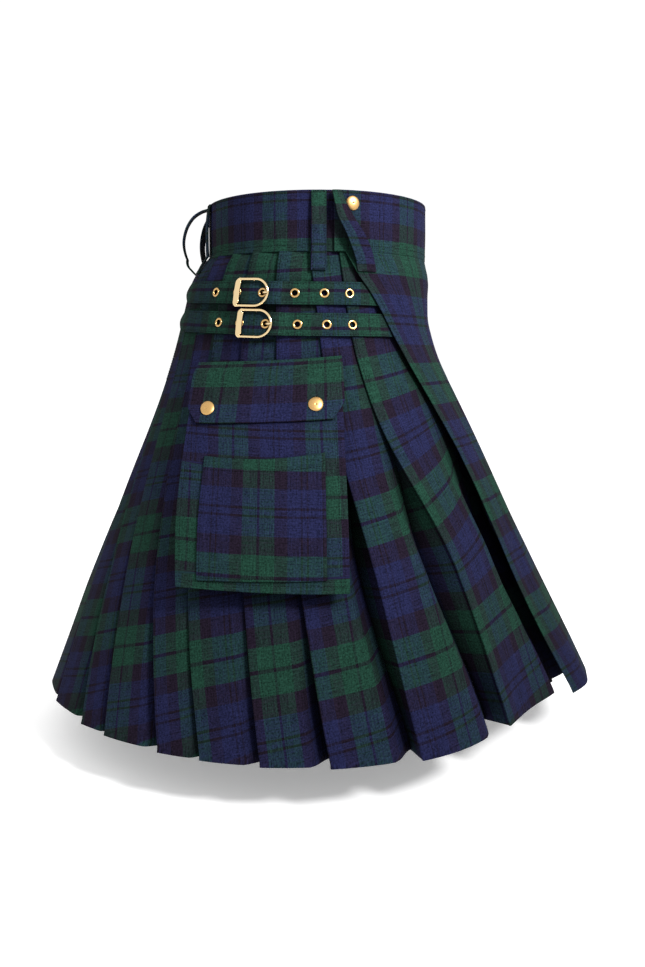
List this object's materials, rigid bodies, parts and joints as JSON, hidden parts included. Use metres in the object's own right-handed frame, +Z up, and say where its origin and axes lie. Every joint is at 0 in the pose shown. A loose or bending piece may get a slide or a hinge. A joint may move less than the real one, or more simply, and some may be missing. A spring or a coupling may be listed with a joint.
{
  "type": "utility kilt",
  "caption": "Wrap-over tartan utility kilt in its worn, hollow form, with knife pleats, belt loops, two buckled hip straps and a bellows cargo pocket.",
  "frame": {"origin": "centre of the waist, on the axis of the waistband ring at its mid height, where the garment is held", "axes": "+Z up; the wearer faces -Y and the wearer's right side, with the pocket, is at -X"},
  "size_m": [0.6932, 0.6618, 0.5706],
  "materials": {
    "skirt_cloth": "brushed wool-look twill in a green, blue and black check",
    "waistband_cloth": "interlined twill in the same check, topstitched",
    "pocket_cloth": "doubled twill in the same check, topstitched",
    "strap_cloth": "doubled twill strap in the same check, edge stitched",
    "buckle_brass": "cast and polished, pale gold plated",
    "snap_brass": "pressed and brushed",
    "eyelet_brass": "pressed and rolled"
  },
  "bodies": {
    "root": {"pleats_left": "skirt_cloth", "pleats_right": "skirt_cloth", "outer_apron": "skirt_cloth", "under_apron": "skirt_cloth", "waistband": "waistband_cloth", "belt_loop_right": "waistband_cloth", "belt_loop_back_right": "waistband_cloth", "belt_loop_back": "waistband_cloth", "belt_loop_back_left": "waistband_cloth", "belt_loop_left": "waistband_cloth", "belt_loop_front_left": "waistband_cloth", "belt_loop_front_right": "waistband_cloth", "strap_upper": "strap_cloth", "strap_lower": "strap_cloth", "buckle_tab_upper": "strap_cloth", "buckle_tab_lower": "strap_cloth", "pocket_back": "pocket_cloth", "pocket_front": "pocket_cloth", "pocket_gusset": "pocket_cloth", "patch_pocket": "pocket_cloth", "pocket_flap": "pocket_cloth", "buckle_frame_upper": "buckle_brass", "buckle_frame_lower": "buckle_brass", "buckle_prong_upper": "buckle_brass", "buckle_prong_lower": "buckle_brass", "snap_waistband": "snap_brass", "snap_flap_right": "snap_brass", "snap_flap_left": "snap_brass", "eyelet_upper_1": "eyelet_brass", "eyelet_upper_2": "eyelet_brass", "eyelet_upper_3": "eyelet_brass", "eyelet_upper_4": "eyelet_brass", "eyelet_upper_5": "eyelet_brass", "eyelet_upper_6": "eyelet_brass", "eyelet_lower_1": "eyelet_brass", "eyelet_lower_2": "eyelet_brass", "eyelet_lower_3": "eyelet_brass", "eyelet_lower_4": "eyelet_brass", "eyelet_lower_5": "eyelet_brass", "eyelet_lower_6": "eyelet_brass"}
  },
  "joints": []
}
